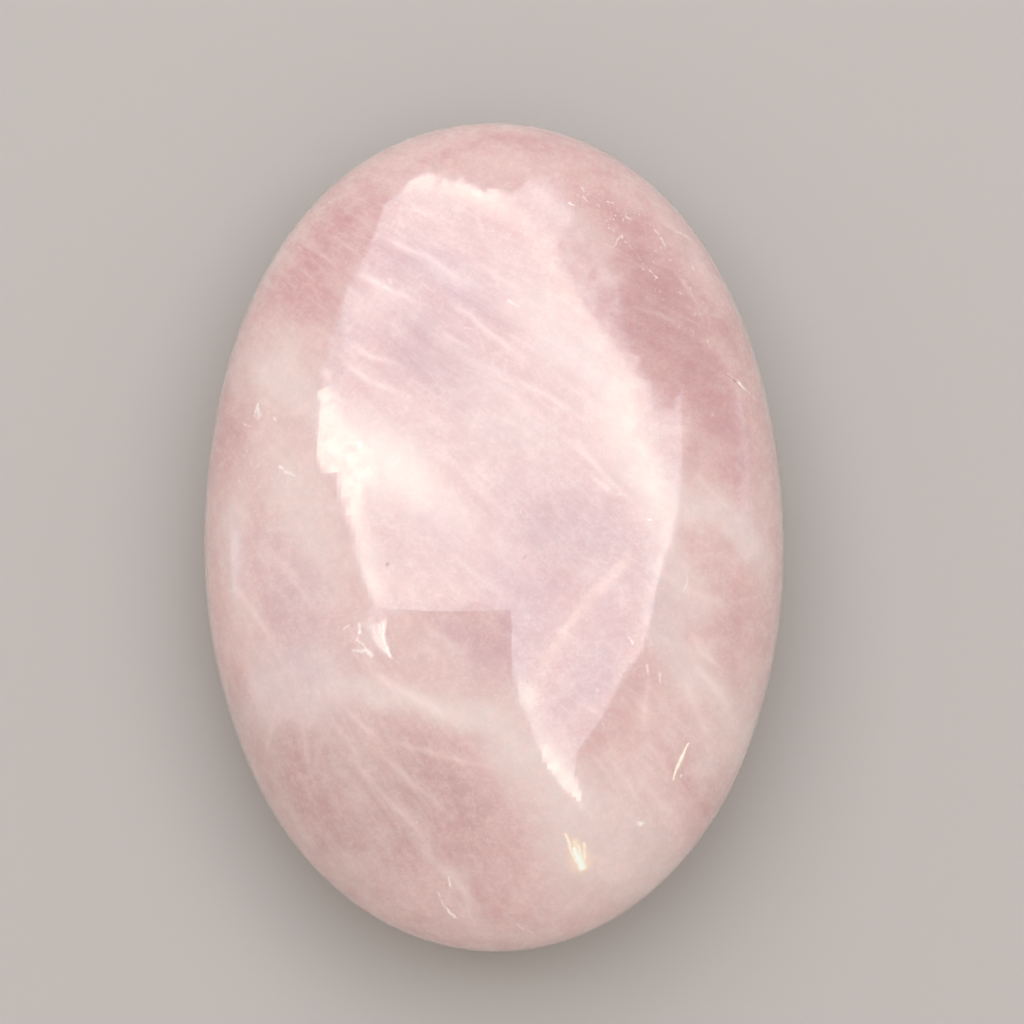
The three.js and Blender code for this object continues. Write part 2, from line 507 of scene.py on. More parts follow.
waves = bpy.data.textures.new("grinding waves", "CLOUDS")
waves.noise_scale = WAVE_SIZE
waves.noise_depth = 0
grinding = stone.modifiers.new("grinding waves", "DISPLACE")
grinding.texture = waves
grinding.texture_coords = "LOCAL"
grinding.vertex_group = away_from_foot.name
grinding.mid_level = 1
grinding.strength = WAVE_DEPTH
bpy.ops.object.modifier_apply(modifier=grinding.name)
bpy.ops.object.shade_smooth()
print("after the waves, mm:", np.round(np.ptp(read_points(stone.data), axis=0) / MM, 2))
fit_camera()

# %% [markdown]
# Soft ovals and soft lines
#
# Two simple shapes do most of the painting here, both for the light and for the clouds in the
# quartz: an oval that is 1 in its middle and fades outwards, and a line with soft sides. Both
# could be brushed on by hand in Blender's paint modes. As formulas they can be placed to the
# pixel and changed later. A high crispness gives an oval a flat middle and a clear edge.

# %% Shapes to paint with
def smooth_passage(value, start, end):
    """0 before start, 1 after end, with a soft passage between them."""
    share = np.clip((value - start) / (end - start), 0, 1)
    return share * share * (3 - 2 * share)


def soft_oval(x, y, turn, half_length, half_width, crispness=1.0):
    """1 at x = y = 0, fading outwards. The turn is anticlockwise, in degrees."""
    lean = math.radians(turn)
    along = x * math.cos(lean) + y * math.sin(lean)
    across = y * math.cos(lean) - x * math.sin(lean)
    square = (along / half_length) ** 2 + (across / half_width) ** 2
    return np.exp(-square ** crispness)


def distance_to_stretch(x, y, start, end):
    """How far points are from the straight stretch between two places."""
    run_x, run_y = end[0] - start[0], end[1] - start[1]
    share = ((x - start[0]) * run_x + (y - start[1]) * run_y) / (run_x ** 2 + run_y ** 2)
    share = np.clip(share, 0, 1)
    return np.hypot(x - start[0] - share * run_x, y - start[1] - share * run_y)


def distance_to_line(x, y, bends):
    """How far points are from a line through some bends."""
    stretches = zip(bends, bends[1:])
    return np.min([distance_to_stretch(x, y, a, b) for a, b in stretches], axis=0)


def distance_inside(x, y, corners):
    """How far points are from the edge of a closed shape: above zero inside, below outside."""
    closed = corners + corners[:1]
    inside = np.zeros(x.shape, bool)
    for (x1, y1), (x2, y2) in zip(closed, closed[1:]):
        between = (y1 > y) != (y2 > y)
        crossing = x1 + (y - y1) * (x2 - x1) / np.where(y2 == y1, 1, y2 - y1)
        inside ^= between & (x < crossing)
    return np.where(inside, 1, -1) * distance_to_line(x, y, closed)


# %% [markdown]
# The light above the stone
#
# A polished dome mirrors what is above it, so the light's own outline is seen on the stone. One
# large softbox hangs overhead. Its shape could be guessed and tried in many renders. It is
# found the other way round here: a grid is laid over the bright patch in the photograph, and
# each of its points is followed from the camera to the stone and from there, as in a mirror, up
# to a dome round the studio. Where the grid lands is the softbox. It glows more on two sides
# than in its middle. Its edge is torn in some places, as if leaves hung before it, and soft in
# others.
#
# This is done before the pits are made, because a pit would throw the mirrored rays off.

# %% Mirror a grid up to the studio's dome
DOME_RADIUS = 0.9
# Side of the grid's faces in pixels of the photograph
GRID_STEP = 1.5
# How much the whole studio glows
STUDIO_FILL = 0.70


def keep_on_mesh(mesh, name, values):
    """Keeps one number for each point of a mesh, as an attribute that materials read."""
    layer = mesh.attributes.new(name, "FLOAT", "POINT")
    layer.data.foreach_set("value", values)


def mirrored_up(pixel_x, pixel_y):
    """Where the stone mirrors the camera's view of a pixel to, on the studio's dome."""
    place, normal, ray = spot_at(pixel_x, pixel_y)
    bounce = ray.reflect(normal)
    towards = place.dot(bounce)
    steps = math.sqrt(towards ** 2 - place.length_squared + DOME_RADIUS ** 2) - towards
    return place + bounce * steps


def hang_light(name, left, top, right, bottom, glow_at):
    """A sheet that the stone mirrors into this part of the photograph.

    The studio's fill is behind it, so it glows by that much more than glow_at says.
    """
    columns = round((right - left) / GRID_STEP)
    rows = round((bottom - top) / GRID_STEP)
    start_fresh()
    bpy.ops.mesh.primitive_grid_add(x_subdivisions=columns, y_subdivisions=rows, size=1)
    sheet = bpy.context.object
    sheet.name = name

    def in_photograph():
        flat = read_points(sheet.data)
        across = left + (flat[:, 0] + 0.5) * (right - left)
        down = top + (0.5 - flat[:, 1]) * (bottom - top)
        return across, down

    glow = glow_at(*in_photograph())
    keep_on_mesh(sheet.data, "glow", glow + STUDIO_FILL)
    most = [max(glow[index] for index in face.vertices) for face in sheet.data.polygons]
    sheet.data.polygons.foreach_set("select", np.array(most) <= 0)
    start_editing(sheet, FACES)
    bpy.ops.mesh.delete(type="FACE")
    bpy.ops.object.mode_set(mode="OBJECT")
    mirrored = [mirrored_up(*pixel_place) for pixel_place in zip(*in_photograph())]
    write_points(sheet.data, np.array(mirrored))
    sheet.data.materials.append(LAMP_GLOW)
    span = np.ptp(read_points(sheet.data), axis=0)
    print(name, "spans, m:", np.round(span, 2), "faces:", len(sheet.data.polygons))


# %% [markdown]
# Helpers for the node trees
#
# The light's colour and everything inside the quartz are trees of shader nodes. In the editor
# each node is set down and wired with a few clicks. In code that takes some lines for every
# node, and they are always the same. These helpers keep it to one line.

# %% Node helpers
def feed(tree, source, socket):
    """Links a socket to another, or sets a plain value on it."""
    if isinstance(source, bpy.types.NodeSocket):
        tree.links.new(source, socket)
    else:
        socket.default_value = source


def calculate(tree, operation, *values):
    """One step of arithmetic."""
    node = tree.nodes.new("ShaderNodeMath")
    node.operation = operation
    for value, socket in zip(values, node.inputs):
        feed(tree, value, socket)
    return node.outputs["Value"]


def multiply(tree, first, *others):
    """The product of several values, and of the strengths that go with them."""
    for other in others:
        first = calculate(tree, "MULTIPLY", first, other)
    return first


def calculate_vector(tree, operation, *values):
    node = tree.nodes.new("ShaderNodeVectorMath")
    node.operation = operation
    for value, socket in zip(values, node.inputs):
        feed(tree, value, socket)
    return node.outputs["Value" if operation == "LENGTH" else "Vector"]


def scale_vector(tree, vector, factor):
    node = tree.nodes.new("ShaderNodeVectorMath")
    node.operation = "SCALE"
    feed(tree, vector, node.inputs["Vector"])
    feed(tree, factor, node.inputs["Scale"])
    return node.outputs["Vector"]


def split(tree, vector):
    node = tree.nodes.new("ShaderNodeSeparateXYZ")
    tree.links.new(vector, node.inputs["Vector"])
    return node.outputs["X"], node.outputs["Y"], node.outputs["Z"]


def join(tree, x, y, z):
    node = tree.nodes.new("ShaderNodeCombineXYZ")
    for value, socket in zip((x, y, z), node.inputs):
        feed(tree, value, socket)
    return node.outputs["Vector"]


def smooth_step(tree, value, start, end, most=1.0, passage="SMOOTHSTEP"):
    """0 at start and most at end, with a soft or a linear passage between them."""
    node = tree.nodes.new("ShaderNodeMapRange")
    node.interpolation_type = passage
    feed(tree, value, node.inputs["Value"])
    feed(tree, start, node.inputs["From Min"])
    feed(tree, end, node.inputs["From Max"])
    feed(tree, most, node.inputs["To Max"])
    return node.outputs["Result"]


MIDDLE_OF_NOISE = 0.5


def lumps(tree, place, size, detail=2.0, roughness=0.5):
    """Cloud noise whose lumps are about this size, in the units of the place."""
    node = tree.nodes.new("ShaderNodeTexNoise")
    feed(tree, place, node.inputs["Vector"])
    node.inputs["Scale"].default_value = 1 / size
    node.inputs["Detail"].default_value = detail
    node.inputs["Roughness"].default_value = roughness
    return node


def pushed_about(tree, place, size, depth):
    """The place, pushed about by noise in smooth lumps of this size."""
    push = lumps(tree, place, size, detail=0.0).outputs["Color"]
    centred = calculate_vector(tree, "SUBTRACT", push, [MIDDLE_OF_NOISE] * 3)
    return calculate_vector(tree, "ADD", place, scale_vector(tree, centred, 2 * depth))


def level_lines(tree, noise_value, thinness):
    """Thin lines where noise passes through its middle value."""
    from_middle = calculate(tree, "SUBTRACT", noise_value, MIDDLE_OF_NOISE)
    return smooth_step(tree, calculate(tree, "ABSOLUTE", from_middle), thinness, 0.0)


# A Mix node has a socket A and B for each kind of data, so its colours go by their numbers
MIX_A, MIX_B, MIX_RESULT = 6, 7, 2


def mix_colors(tree, share, first, second):
    node = tree.nodes.new("ShaderNodeMix")
    node.data_type = "RGBA"
    feed(tree, share, node.inputs["Factor"])
    feed(tree, first, node.inputs[MIX_A])
    feed(tree, second, node.inputs[MIX_B])
    return node.outputs[MIX_RESULT]


def painted(tree, name):
    """Reads an attribute of the mesh."""
    node = tree.nodes.new("ShaderNodeAttribute")
    node.attribute_name = name
    return node.outputs["Fac"]

# %% [markdown]
# The light that the lamps give
#
# A window isn't one even white. The sky in it is cool, and where the sun is near it is much
# brighter and warm. A picture of a window could glow on the lamp. Here all lamps share one
# material: it reads from the mesh how much each point glows, and takes a cool or a warm colour
# by that.

# %% The glow of every lamp
# Colour of the light where the glow is low and where it is high, and between which glows it turns
COLD_LIGHT = (0.87, 0.93, 1.04, 1)
WARM_LIGHT = (1.04, 0.97, 0.84, 1)
WARM_FROM, WARM_FULL = 2.0, 3.8


def make_lamp_glow():
    """A lamp is as cool as the sky where it is dim, and warms where it glows most."""
    material = bpy.data.materials.new("lamp glow")
    material.use_nodes = True
    tree = material.node_tree
    tree.nodes.clear()
    glow = painted(tree, "glow")
    warmth = smooth_step(tree, glow, WARM_FROM, WARM_FULL, passage="LINEAR")
    lamp = tree.nodes.new("ShaderNodeEmission")
    feed(tree, mix_colors(tree, warmth, COLD_LIGHT, WARM_LIGHT), lamp.inputs["Color"])
    feed(tree, glow, lamp.inputs["Strength"])
    surface = tree.nodes.new("ShaderNodeOutputMaterial")
    feed(tree, lamp.outputs["Emission"], surface.inputs["Surface"])
    material.cycles.emission_sampling = "NONE"
    return material


LAMP_GLOW = make_lamp_glow()

# %% [markdown]
# The softbox
#
# The window's outline is followed corner by corner, and so are the panes, spots and bands in it
# that glow more or less than the rest. It could all be painted as one picture for the sheet to
# show. As named shapes the parts stay sharp at any size, and each can be moved by itself.

# %% Hang the softbox
# Left, top, right and bottom in the photograph
SOFTBOX_FRAME = (306, 165, 700, 825)
WINDOW_OUTLINE = [
    (424, 175), (440, 178), (470, 184), (498, 193), (514, 190), (528, 184), (538, 181),
    (549, 182), (557, 193), (567, 206), (573, 220), (588, 240), (598, 254), (608, 266),
    (615, 282), (620, 296), (627, 326), (631, 345), (638, 364), (646, 380), (655, 397),
    (661, 410), (669, 412), (676, 400), (681, 392), (682, 430), (682, 460), (680, 490),
    (678, 510), (674, 532), (668, 549), (664, 562), (658, 580), (654, 600), (650, 624),
    (646, 640), (638, 655), (626, 672), (616, 689), (608, 706), (598, 724), (588, 738),
    (577, 752), (573, 762), (575, 776), (580, 790), (583, 811), (576, 798), (564, 789),
    (554, 777), (544, 762), (536, 742), (528, 720), (518, 698), (515, 676), (511, 656),
    (510, 638), (511, 622), (508, 609), (496, 606), (480, 606), (460, 608), (440, 610),
    (420, 611), (398, 612), (390, 616), (386, 624), (385, 634), (387, 645), (391, 657), (384, 654),
    (377, 645), (372, 634), (366, 626), (367, 617), (371, 609),
    (376, 603), (367, 587), (360, 568), (358, 550), (353, 531), (343, 507), (339, 494),
    (338, 475), (320, 469), (317, 450), (318, 434), (319, 406), (321, 378), (326, 352),
    (336, 324), (341, 310), (347, 288), (352, 282), (360, 272), (361, 264), (367, 252),
    (372, 238), (380, 218), (385, 203), (396, 197), (404, 188), (412, 180),
]
WINDOW_GLOW = 1.6
# In pixels: how soft the edge is, how deep it is torn and speckled, and how wide the tears are
WINDOW_EDGE = 1.6
TORN_DEPTH, SPECKLED_DEPTH = 9.0, 10.0
TORN_SIZE = 13.0

# Corners in the photograph, how soft their edge is in pixels, and how much the glow rises or
# falls inside
PANES = {
    "far corner": ([
        (566, 228), (580, 222), (596, 240), (614, 266), (627, 296), (633, 326), (636, 345),
        (620, 352), (604, 334), (590, 314), (578, 294), (568, 276), (560, 262), (556, 246),
    ], 1.8, -1.1),
    "left strip": ([
        (340, 308), (332, 324), (322, 352), (316, 376), (322, 388), (336, 390), (343, 370),
        (344, 336),
    ], 1.5, -0.9),
    "hot corner": ([
        (326, 376), (300, 380), (296, 450), (300, 468), (328, 476), (346, 498), (364, 500),
        (371, 480), (364, 456), (351, 432), (338, 408), (331, 388),
    ], 13.0, 1.8),
    "fan": ([
        (370, 624), (388, 622), (387, 634), (389, 646), (394, 660), (384, 656), (377, 646),
        (371, 634),
    ], 2.0, 1.2),
    "gap over the fan": ([(362, 612), (388, 612), (388, 622), (372, 624), (360, 622)], 2.0, -0.8),
}

# Middle in the photograph, turn in degrees, half length and half width in pixels, crispness,
# and how much the glow rises or falls there
GLOW_SPOTS = {
    "beside the hot corner": ((396, 474), -30, 62, 30, 1.0, 1.2),
    "under the hot corner": ((352, 508), -60, 28, 12, 1.2, 1.3),
    "left of the right band": ((604, 424), -55, 34, 16, 1.2, 0.8),
    "cream by the notch": ((533, 692), -78, 24, 13, 1.2, 0.45),
    "near side": ((424, 592), -3, 62, 15, 1.1, 0.5),
    "far window": ((404, 258), -24, 50, 18, 1.2, -0.4),
    "middle window": ((436, 352), -35, 60, 30, 1.1, -0.9),
    "near window": ((564, 540), -40, 66, 42, 1.1, -0.7),
    "wedge": ((600, 680), 58, 44, 16, 1.1, -0.3),
}

# Bends in the photograph, half width in pixels and glow
GLOW_LINES = {
    "far edge": ([(410, 184), (432, 183), (462, 191), (494, 199)], 9.0, 1.6),
    "far right band": ([
        (490, 200), (507, 208), (524, 227), (541, 250), (560, 280), (578, 310), (596, 338),
        (616, 366), (634, 394),
    ], 17.0, 0.56),
    "far right band's edge": ([(543, 252), (562, 280), (582, 312), (600, 338)], 7.0, 0.3),
    "right band": ([(622, 396), (636, 436), (652, 478), (662, 515), (668, 542)], 15.0, 0.95),
    "lip": ([(384, 624), (383, 634), (385, 645), (390, 656)], 3.0, 1.5),
    "left edge": ([(343, 498), (354, 534), (364, 564), (377, 596)], 10.0, 1.1),
    "near right band": ([(666, 552), (656, 590), (648, 625), (634, 656), (616, 692)], 9.0, 0.8),
    "fold": ([(628, 560), (608, 580), (588, 600), (564, 632), (550, 654), (541, 672)], 6.0, 1.1),
    "cream tail": ([(530, 690), (534, 708), (539, 726)], 9.0, 0.6),
    "leaf": ([(546, 752), (554, 766), (566, 782), (579, 798)], 7.0, 1.9),
}

# Where the edge is torn most: middle, turn, half length and half width in pixels
TORN_PLACES = [
    ((480, 187), -12, 60, 20),
    ((580, 245), -55, 90, 26),
    ((640, 375), -55, 44, 20),
    ((332, 350), 75, 40, 12),
]
# Where the edge is soft: the same, and by how many pixels it is softer than elsewhere
SOFT_PLACES = [
    ((345, 505), -65, 34, 14, 5.0),
    ((364, 568), -70, 40, 12, 2.5),
    ((329, 471), 0, 14, 8, 3.0),
    ((319, 425), 90, 40, 8, 1.4),
    ((668, 545), -75, 36, 12, 4.5),
    ((660, 402), -60, 20, 12, 5.0),
    ((572, 214), -50, 50, 22, 3.5),
    ((480, 187), -12, 50, 12, 1.2),
]
# Where fine grains or short strokes break the edge up: the same, and the grains' size across
# and down the photograph
SPECKLED_PLACES = [
    ((572, 214), -50, 50, 26, 4.5, 4.5),
    ((664, 402), -75, 40, 24, 3.5, 22.0),
    ((330, 464), 0, 15, 11, 18.0, 3.0),
    ((338, 482), 90, 18, 9, 4.0, 4.0),
    ((350, 520), -65, 34, 10, 3.4, 3.4),
]
# Share of the tears that the whole edge has, and share that the panes' edges have
LEAST_TORN, PANES_TORN = 0.08, 0.5
# Share of its rises by which the glow is mottled
MOTTLED = 0.8
# How much rougher noise weighs, how much finer it is, and how many kinds of it are added up
RAGGED_NOISE = (0.8, 2.0, 4)


def ragged(x, y):
    """Noise of about -1 to 1 over the photograph, with small lumps on the large ones."""
    places = np.column_stack((x, y, np.zeros(len(x)))) / TORN_SIZE
    return np.array([noise.fractal(Vector(place), *RAGGED_NOISE) for place in places])


def speckled(x, y, size_across, size_down):
    """Finer noise of about -1 to 1, which breaks an edge up into dots or strokes."""
    places = np.column_stack((x / size_across, y / size_down, np.zeros(len(x))))
    return np.array([noise.noise(Vector(place)) for place in places])


def oval_round(x, y, middle, *form):
    """A soft oval round a pixel of the photograph, where y points down."""
    return soft_oval(x - middle[0], middle[1] - y, *form)


def softbox_edge(x, y, tear):
    """0 outside the window and 1 inside, with the tears and the soft places of its edge."""
    torn = LEAST_TORN + sum(oval_round(x, y, *place) for place in TORN_PLACES)
    inside = distance_inside(x, y, WINDOW_OUTLINE) + tear * np.clip(torn, 0, 1)
    softer = sum(pixels * oval_round(x, y, *place) for *place, pixels in SOFT_PLACES)
    return smooth_passage(inside, -WINDOW_EDGE - softer, WINDOW_EDGE + softer)


def softbox_glow(x, y):
    """The window's even glow, and all that rises above it or falls below."""
    tear = ragged(x, y) * TORN_DEPTH
    for *place, size_across, size_down in SPECKLED_PLACES:
        speckles = speckled(x, y, size_across, size_down)
        tear += speckles * oval_round(x, y, *place) * SPECKLED_DEPTH
    rises = np.zeros(len(x))
    for corners, pane_edge, rise in PANES.values():
        inside = distance_inside(x, y, corners) + tear * PANES_TORN
        rises += rise * smooth_passage(inside, -pane_edge, pane_edge)
    for *place, rise in GLOW_SPOTS.values():
        rises += rise * oval_round(x, y, *place)
    for bends, half_width, rise in GLOW_LINES.values():
        rises += rise * np.exp(-(distance_to_line(x, y, bends) / half_width) ** 2)
    glow = WINDOW_GLOW + rises * (1 + MOTTLED * ragged(x, y))
    return glow * softbox_edge(x, y, tear)


hang_light("softbox", *SOFTBOX_FRAME, softbox_glow)

# %% [markdown]
# Strip lights near the rim
#
# Three faint bands lie near the rim, where the stone mirrors the lower parts of the room. The
# softbox could be made large enough to reach them, but most of that sheet would be empty. A
# small sheet for each band takes fewer faces, and the same function hangs it.

# %% Hang the strip lights
# Bends in the photograph, half width in pixels and glow
STRIPS = {
    "far_strip": ([(440, 146), (466, 140), (496, 137), (526, 139), (552, 147)], 4.0, 0.35),
    "right_strip": ([(741, 392), (745, 455), (742, 525)], 5.0, 0.45),
    "left_strip": ([(234, 532), (234, 545), (235, 590)], 5.0, 0.65),
}


def hang_strip(name, bends, half_width, strip_glow):
    """A soft strip light that the stone mirrors as a band along these bends."""
    across = [bend[0] for bend in bends]
    down = [bend[1] for bend in bends]
    margin = 2 * half_width

    def glow_at(x, y):
        share = distance_to_line(x, y, bends) / margin
        return strip_glow * smooth_passage(share, 1, 0)

    box = (min(across) - margin, min(down) - margin, max(across) + margin, max(down) + margin)
    hang_light(name, *box, glow_at)


for strip_name, strip in STRIPS.items():
    hang_strip(strip_name, *strip)

# %% [markdown]
# Pits and a crack
#
# Even a good polish leaves a few pits, where a grain has come out, and on its right shoulder
# this stone has a short open crack. A bump map would shade them, but their edge wouldn't stand
# out from the side. So they are real dents in the mesh: single points are pushed in, and
# proportional editing takes their neighbours along.

# %% Push the dents in
# Spots that are pushed in along each stretch of the crack
CRACK_STEPS = 8


def push_in(spots, direction, depth, radius):
    """Pushes the points at some spots in, and their neighbours with them."""
    work = bmesh.from_edit_mesh(stone.data)
    for vertex in work.verts:
        vertex.select = False
    for spot in spots:
        nearest = min(work.verts, key=lambda vertex: (vertex.co - spot).length_squared)
        nearest.select = True
    work.select_flush_mode()
    bmesh.update_edit_mesh(stone.data)
    bpy.ops.transform.translate(
        value=-direction * depth * MM,
        use_proportional_edit=True,
        proportional_edit_falloff="SMOOTH",
        proportional_size=radius * MM,
    )


pit_spots = {name: spot_at(*middle)[:2] for name, (middle, _, _) in PITS.items()}
crack_spots = [spot_at(*bend)[:2] for bend in CRACK]
crack_steps = []
for (start, _), (end, _) in zip(crack_spots, crack_spots[1:]):
    crack_steps += [start.lerp(end, step / CRACK_STEPS) for step in range(CRACK_STEPS)]

start_editing(stone, POINTS)
for name, (spot, normal) in pit_spots.items():
    _, radius, depth = PITS[name]
    push_in([spot], normal, depth, radius)
push_in(crack_steps, crack_spots[0][1], CRACK_DEPTH, CRACK_HALF_WIDTH)
bpy.ops.object.mode_set(mode="OBJECT")
bpy.ops.object.shade_smooth()
print("dents:", len(pit_spots) + 1)

# %% [markdown]
# Painting the clouds
#
# The milky clouds of rose quartz are sheets of tiny bubbles, and between them the quartz is
# clearer and a deeper pink. Noise alone makes clouds too, but in no chosen place. So the large
# ones are set down one by one, as strokes of a wide soft brush. Before that, noise pushes every
# point's place about, which tears the strokes' edges.
#
# The strokes could be shader nodes. They are kept on the mesh as attributes instead, one number
# from 0 to 1 for each point, because a render reads those at almost no cost. The underside,
# which the photograph doesn't show, gets the same strokes, turned half round.

# %% Push the places about
# Size and depth of the tears in mm
WIDE_TEAR, WIDE_TEAR_DEPTH = 7.0, 1.9
FINE_TEAR, FINE_TEAR_DEPTH = 2.2, 0.9
# Heights in mm between which the strokes of the underside give way to those of the top
BELOW_THE_RIM, ABOVE_THE_RIM = 4.5, 9.0
# Without a seed, vector noise starts from the clock and every run tears the strokes anew
TEAR_SEED = 5

places = read_points(stone.data) / MM
noise.seed_set(TEAR_SEED)


def wandering(size, depth):
    """How far noise pushes each point of the stone about, in mm."""
    return depth * np.array([noise.noise_vector(Vector(place) / size) for place in places])


torn_places = places + wandering(WIDE_TEAR, WIDE_TEAR_DEPTH)
torn_places += wandering(FINE_TEAR, FINE_TEAR_DEPTH)
on_top = smooth_passage(places[:, 2], BELOW_THE_RIM, ABOVE_THE_RIM)
print("share of the points on top:", round(float(on_top.mean()), 2))

# %% Where the clouds, clear patches, needles and grains are
# Middle in the photograph, turn in degrees, half length and half width in mm, crispness and
# strength
MILKY_CLOUDS = {
    "low left cloud": ((304, 686), 15, 4.8, 3.6, 1.5, 1.0),
    "low left cloud's tail": ((258, 690), 70, 4.4, 2.0, 1.0, 0.6),
    "band, thin end": ((378, 688), -24, 4.4, 1.5, 1.0, 0.92),
    "band, middle": ((452, 708), -22, 5.8, 1.5, 1.5, 1.0),
    "band, wide end": ((520, 742), -40, 4.8, 2.8, 1.1, 0.85),
    "band to the near end": ((576, 820), -56, 7.4, 3.8, 1.2, 0.8),
    "under the notch": ((444, 658), -24, 5.0, 2.0, 1.0, 0.42),
    "upper left cloud": ((282, 382), -44, 4.6, 2.8, 1.1, 0.85),
    "left of the hot corner": ((300, 500), -60, 6.0, 2.6, 1.2, 0.75),
    "left of the near side": ((322, 575), -70, 5.4, 2.2, 1.2, 0.5),
    "left rim haze": ((232, 536), 86, 5.0, 1.6, 1.0, 0.62),
    "left haze": ((258, 452), -70, 3.6, 2.2, 1.0, 0.3),
    "lower left haze": ((246, 610), -75, 4.0, 2.0, 1.0, 0.4),
    "right haze": ((708, 512), -28, 4.8, 1.7, 1.1, 0.85),
    "right haze's end": ((752, 545), -40, 3.0, 1.6, 1.0, 0.6),
    "right of the light": ((682, 566), -80, 4.4, 1.5, 1.1, 0.7),
    "lower right veil": ((696, 672), -58, 4.4, 1.8, 1.3, 0.75),
    "lower right stem": ((674, 622), -80, 4.4, 1.5, 1.0, 0.78),
    "near right": ((640, 800), -55, 4.6, 2.0, 1.0, 0.30),
    "right of the near end": ((650, 850), -50, 5.0, 1.8, 1.0, 0.5),
    "near end streak": ((352, 765), -58, 2.6, 0.6, 1.0, 0.4),
    "near end streak, end": ((450, 874), -50, 5.0, 0.8, 1.0, 0.5),
    "near left streak": ((296, 812), -68, 4.4, 0.7, 1.0, 0.3),
    "far haze": ((520, 168), -12, 4.0, 1.2, 1.0, 0.15),
    "speckled corner": ((562, 212), -50, 3.8, 1.9, 1.2, 0.30),
    "beside the hot corner": ((392, 474), -36, 7.0, 3.2, 1.1, 0.9),
    "hot corner": ((345, 440), -52, 4.6, 2.0, 1.2, 0.8),
    "right band": ((604, 396), -62, 8.6, 2.0, 1.2, 0.6),
    "right band, near": ((650, 492), -76, 5.4, 2.2, 1.2, 0.7),
    "middle haze": ((500, 420), -36, 9.0, 3.4, 1.1, 0.45),
    "upper haze": ((548, 320), -48, 7.0, 2.4, 1.0, 0.5),
    "haze over the notch": ((430, 570), -10, 6.4, 2.4, 1.0, 0.25),
    "near corner": ((370, 560), -66, 4.4, 1.4, 1.1, 0.6),
    "cream by the notch": ((532, 690), -76, 2.6, 1.2, 1.2, 0.8),
    "far upper left": ((298, 346), -40, 3.0, 1.8, 1.0, 0.5),
    "fan by the notch": ((378, 638), -80, 1.8, 0.9, 1.2, 0.5),
    # Milk, and painted light: this stroke also pales the right rim, where more light falls
    "right rim, milky and painted light": ((762, 546), 88, 6.0, 1.4, 1.1, 0.45),
    "near right rim, milky and painted light": ((624, 872), 34, 4.6, 1.5, 1.0, 0.35),
    "near left rim, milky": ((357, 876), -40, 3.4, 1.3, 1.1, 0.35),
    "half-lit corner": ((596, 248), -55, 3.6, 1.6, 1.2, 0.30),
    "lower right, near": ((690, 716), -60, 4.0, 2.0, 1.1, 0.35),
    "far cream": ((452, 201), -8, 3.8, 1.3, 1.1, 0.40),
    "near end cloud": ((574, 868), -56, 3.4, 2.4, 1.0, 0.6),
    "lower right rim": ((730, 734), 60, 5.4, 1.8, 1.0, 0.65),
    "near edge haze": ((500, 925), -16, 6.0, 1.6, 1.0, 0.3),
}
DEEP_PATCHES = {
    "far right": ((664, 300), -60, 9.0, 3.2, 1.2, 0.90),
    "far right edge": ((638, 228), -45, 5.0, 2.0, 1.1, 0.68),
    "beside the light": ((650, 340), -66, 5.4, 1.7, 1.2, 0.55),
    "right": ((716, 410), -72, 8.0, 2.6, 1.1, 0.70),
    "right of the light": ((694, 452), -84, 3.4, 0.9, 1.2, 0.5),
    "far left": ((322, 262), 52, 5.4, 2.4, 1.0, 0.8),
    "left of the far corner": ((356, 214), 40, 3.8, 1.6, 1.0, 0.5),
    "notch": ((492, 632), -50, 2.4, 1.2, 1.0, 0.25),
    "near end": ((432, 806), -52, 6.6, 3.2, 1.0, 0.48),
    "near left": ((336, 802), -58, 6.4, 3.2, 1.0, 0.75),
    "near edge": ((470, 880), -40, 5.0, 1.6, 1.0, 0.3),
    "right of the wedge": ((634, 700), 58, 4.6, 1.2, 1.0, 0.30),
    "lower right": ((690, 800), -50, 4.0, 2.0, 1.0, 0.5),
    "right rim": ((752, 610), -80, 4.6, 1.2, 1.0, 0.15),
    "under the band": ((474, 752), -32, 3.0, 1.1, 1.0, 0.15),
    "near left, low": ((372, 836), -55, 4.0, 2.0, 1.1, 0.30),
    "right, near": ((721, 636), -78, 3.6, 1.5, 1.4, 0.22),
    "left rim": ((232, 430), 78, 4.6, 1.8, 1.0, 0.6),
    "far edge": ((494, 147), -4, 6.5, 1.1, 1.2, 0.5),
    "left of the window": ((330, 296), 62, 3.6, 1.6, 1.0, 0.6),
    "first window": ((404, 258), -15, 2.4, 1.2, 1.2, 0.3),
    "second window": ((468, 302), -35, 3.0, 1.2, 1.2, 0.65),
    "third window": ((512, 330), -25, 2.2, 1.1, 1.2, 0.3),
    "wide window": ((438, 360), -35, 5.0, 2.4, 1.2, 0.58),
    "lower window": ((546, 528), -40, 3.0, 2.0, 1.2, 0.25),
    "small window": ((594, 500), -40, 2.4, 1.4, 1.2, 0.3),
    "window by the wedge": ((545, 598), -45, 4.0, 1.8, 1.2, 0.4),
}
# Painted shade: a darker, greyer pink where less light falls, most of all on the near left
PAINTED_SHADE_PATCHES = {
    "far right": ((672, 318), -62, 9.0, 3.2, 1.1, 0.35),
    "near left": ((346, 786), -50, 10.5, 6.5, 1.4, 0.58),
    "near": ((430, 800), -50, 6.0, 4.0, 1.0, 0.30),
    "near left rim": ((250, 734), -58, 5.6, 1.8, 1.0, 0.50),
    "right, near": ((721, 640), -78, 3.6, 1.6, 1.3, 0.22),
    "lower right": ((726, 694), -62, 3.0, 1.4, 1.0, 0.20),
    "near left, inside the rim": ((352, 850), -46, 4.0, 1.6, 1.0, 0.30),
}
